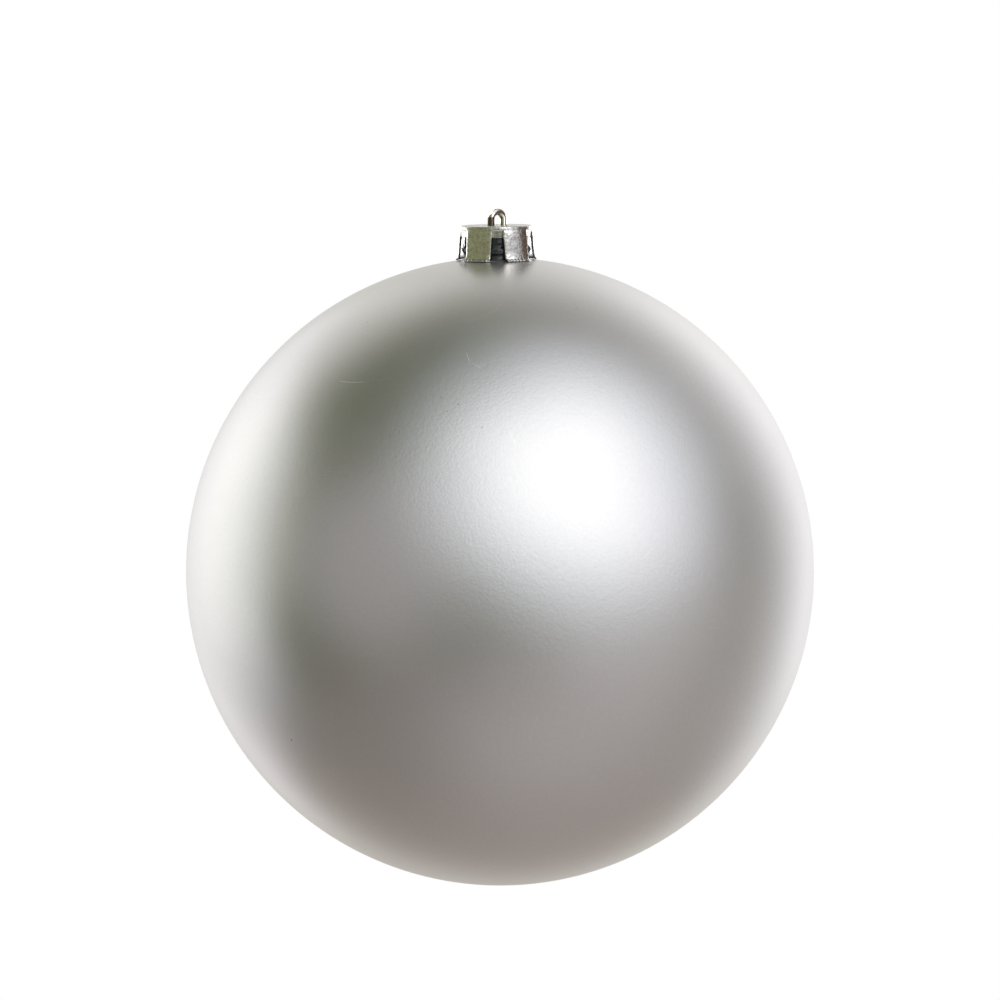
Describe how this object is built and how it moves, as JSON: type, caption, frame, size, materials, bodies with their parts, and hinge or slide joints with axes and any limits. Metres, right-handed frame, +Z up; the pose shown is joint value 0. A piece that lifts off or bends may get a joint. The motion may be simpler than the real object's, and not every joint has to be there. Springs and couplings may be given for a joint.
{
  "type": "hanging ball ornament",
  "caption": "Large satin-silver glass ball ornament with a short neck, a slotted pressed-metal cap and a sprung wire loop to hang it by.",
  "frame": {"origin": "hang point: the underside of the wire loop's arch, on the ornament's axis", "axes": "+Z up along the ornament's axis, +Y through the loop's eye, loop in the XZ plane"},
  "size_m": [0.2, 0.2, 0.2158],
  "materials": {
    "silvered_glass": "satin",
    "plated_cap": "satin",
    "spring_wire": "polished"
  },
  "bodies": {
    "ball": {"glass_ball": "silvered_glass"},
    "cap": {"cap_crown": "plated_cap"},
    "hanger": {"hanger_wire": "spring_wire"}
  },
  "joints": [
    {"name": "cap_lift", "type": "slide", "parent": "ball", "child": "cap", "axis": [0, 0, 1], "range_m": [0, 0.032]},
    {"name": "hanger_slide", "type": "slide", "parent": "cap", "child": "hanger", "axis": [0, 0, 1], "range_m": [-0.0018, 0]}
  ]
}
